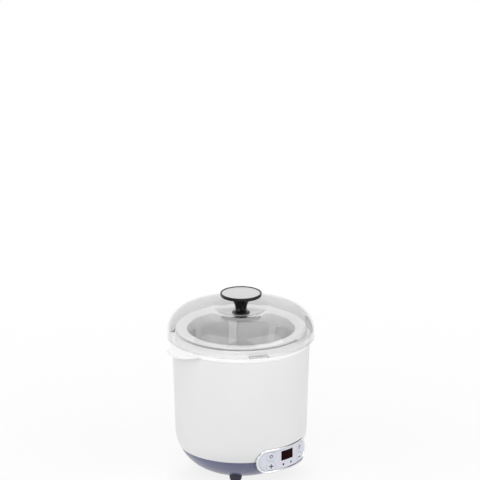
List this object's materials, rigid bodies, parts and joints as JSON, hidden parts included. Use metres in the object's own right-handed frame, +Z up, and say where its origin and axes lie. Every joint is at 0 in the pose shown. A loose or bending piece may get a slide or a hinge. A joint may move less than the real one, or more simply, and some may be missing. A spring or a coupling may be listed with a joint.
{
  "type": "yogurt maker",
  "caption": "Countertop yogurt maker with a round heated base, front control panel, lift-out tapered tub, gauze strainer basket and clear domed lid with a knob.",
  "frame": {"origin": "centre of the base at the level of the surface it stands on", "axes": "+Z up along the round body's axis, -Y towards the control panel, X from side to side with the two carrying lugs a little behind it"},
  "size_m": [0.1966, 0.17, 0.216],
  "materials": {
    "white_plastic": "glossy moulded white",
    "liner_white": "glossy moulded white",
    "container_white": "satin food-grade white",
    "basket_white": "satin moulded white",
    "gauze": "fine woven nylon",
    "tray_blue": "glossy blue-grey",
    "foot_rubber": "matt",
    "screw_steel": "zinc plated",
    "lid_clear": "clear, lightly smoked",
    "knob_black": "glossy black",
    "cap_silver": "satin silver",
    "washer_silicone": "translucent silicone",
    "bezel_chrome": "bright plated",
    "panel_grey": "satin pale lilac-grey",
    "button_grey": "satin pale grey",
    "display_dark": "dark red tint",
    "indicator_dark": "tinted",
    "board_green": "solder-masked laminate",
    "module_grey": "moulded",
    "switch_black": "moulded",
    "plate_aluminium": "rolled sheet",
    "element_mica": "mica laminate",
    "strap_steel": "rolled strip",
    "sensor_resin": "potted resin",
    "fuse_case": "drawn case",
    "relay_blue": "moulded",
    "capacitor_yellow": "moulded",
    "terminal_white": "moulded",
    "can_black": "sleeved can",
    "lead_sleeve": "glass-fibre sleeve",
    "ribbon_grey": "flat cable",
    "gland_black": "moulded"
  },
  "bodies": {
    "base": {"outer_shell": "white_plastic", "liner": "liner_white", "base_tray": "tray_blue", "foot_front_left": "foot_rubber", "foot_front_right": "foot_rubber", "foot_rear_left": "foot_rubber", "foot_rear_right": "foot_rubber", "base_screws": "screw_steel", "panel_bezel": "bezel_chrome", "panel_plate": "panel_grey", "display_window": "display_dark", "indicator_lens_left": "indicator_dark", "indicator_lens_right": "indicator_dark", "indicator_leds": "indicator_dark", "control_board": "board_green", "display_module": "module_grey", "tact_switches": "switch_black", "control_board_screws": "screw_steel", "heat_plate": "plate_aluminium", "heating_element": "element_mica", "heater_strap": "strap_steel", "heater_screws": "screw_steel", "thermistor": "sensor_resin", "thermal_fuse": "fuse_case", "power_board": "board_green", "power_board_screws": "screw_steel", "relay": "relay_blue", "mains_capacitor": "capacitor_yellow", "terminal_block": "terminal_white", "smoothing_capacitor": "can_black", "heater_leads": "lead_sleeve", "panel_ribbon": "ribbon_grey", "cord_gland": "gland_black", "gland_ring": "gland_black"},
    "container": {"inner_container": "container_white"},
    "basket": {"basket_frame": "basket_white", "basket_gauze_side": "gauze", "basket_gauze_floor": "gauze"},
    "lid": {"lid_dome": "lid_clear", "lid_knob": "knob_black", "knob_cap": "cap_silver", "knob_washer": "washer_silicone", "knob_screw": "screw_steel"},
    "button_power": {"button_power": "button_grey"},
    "button_plus": {"button_plus": "button_grey"},
    "button_mode": {"button_mode": "button_grey"},
    "button_minus": {"button_minus": "button_grey"}
  },
  "joints": [
    {"name": "container_lift", "type": "slide", "parent": "base", "child": "container", "axis": [0, 0, 1], "range_m": [0, 0.168]},
    {"name": "basket_lift", "type": "slide", "parent": "container", "child": "basket", "axis": [0, 0, 1], "range_m": [0, 0.126]},
    {"name": "lid_lift", "type": "slide", "parent": "basket", "child": "lid", "axis": [0, 0, 1], "range_m": [0, 0.048]},
    {"name": "power_press", "type": "slide", "parent": "base", "child": "button_power", "axis": [0, 1, 0], "range_m": [0, 0.0006], "stiffness_N_per_m": 1200},
    {"name": "plus_press", "type": "slide", "parent": "base", "child": "button_plus", "axis": [0, 1, 0], "range_m": [0, 0.0006], "stiffness_N_per_m": 1200},
    {"name": "mode_press", "type": "slide", "parent": "base", "child": "button_mode", "axis": [0, 1, 0], "range_m": [0, 0.0006], "stiffness_N_per_m": 1200},
    {"name": "minus_press", "type": "slide", "parent": "base", "child": "button_minus", "axis": [0, 1, 0], "range_m": [0, 0.0006], "stiffness_N_per_m": 1200}
  ]
}
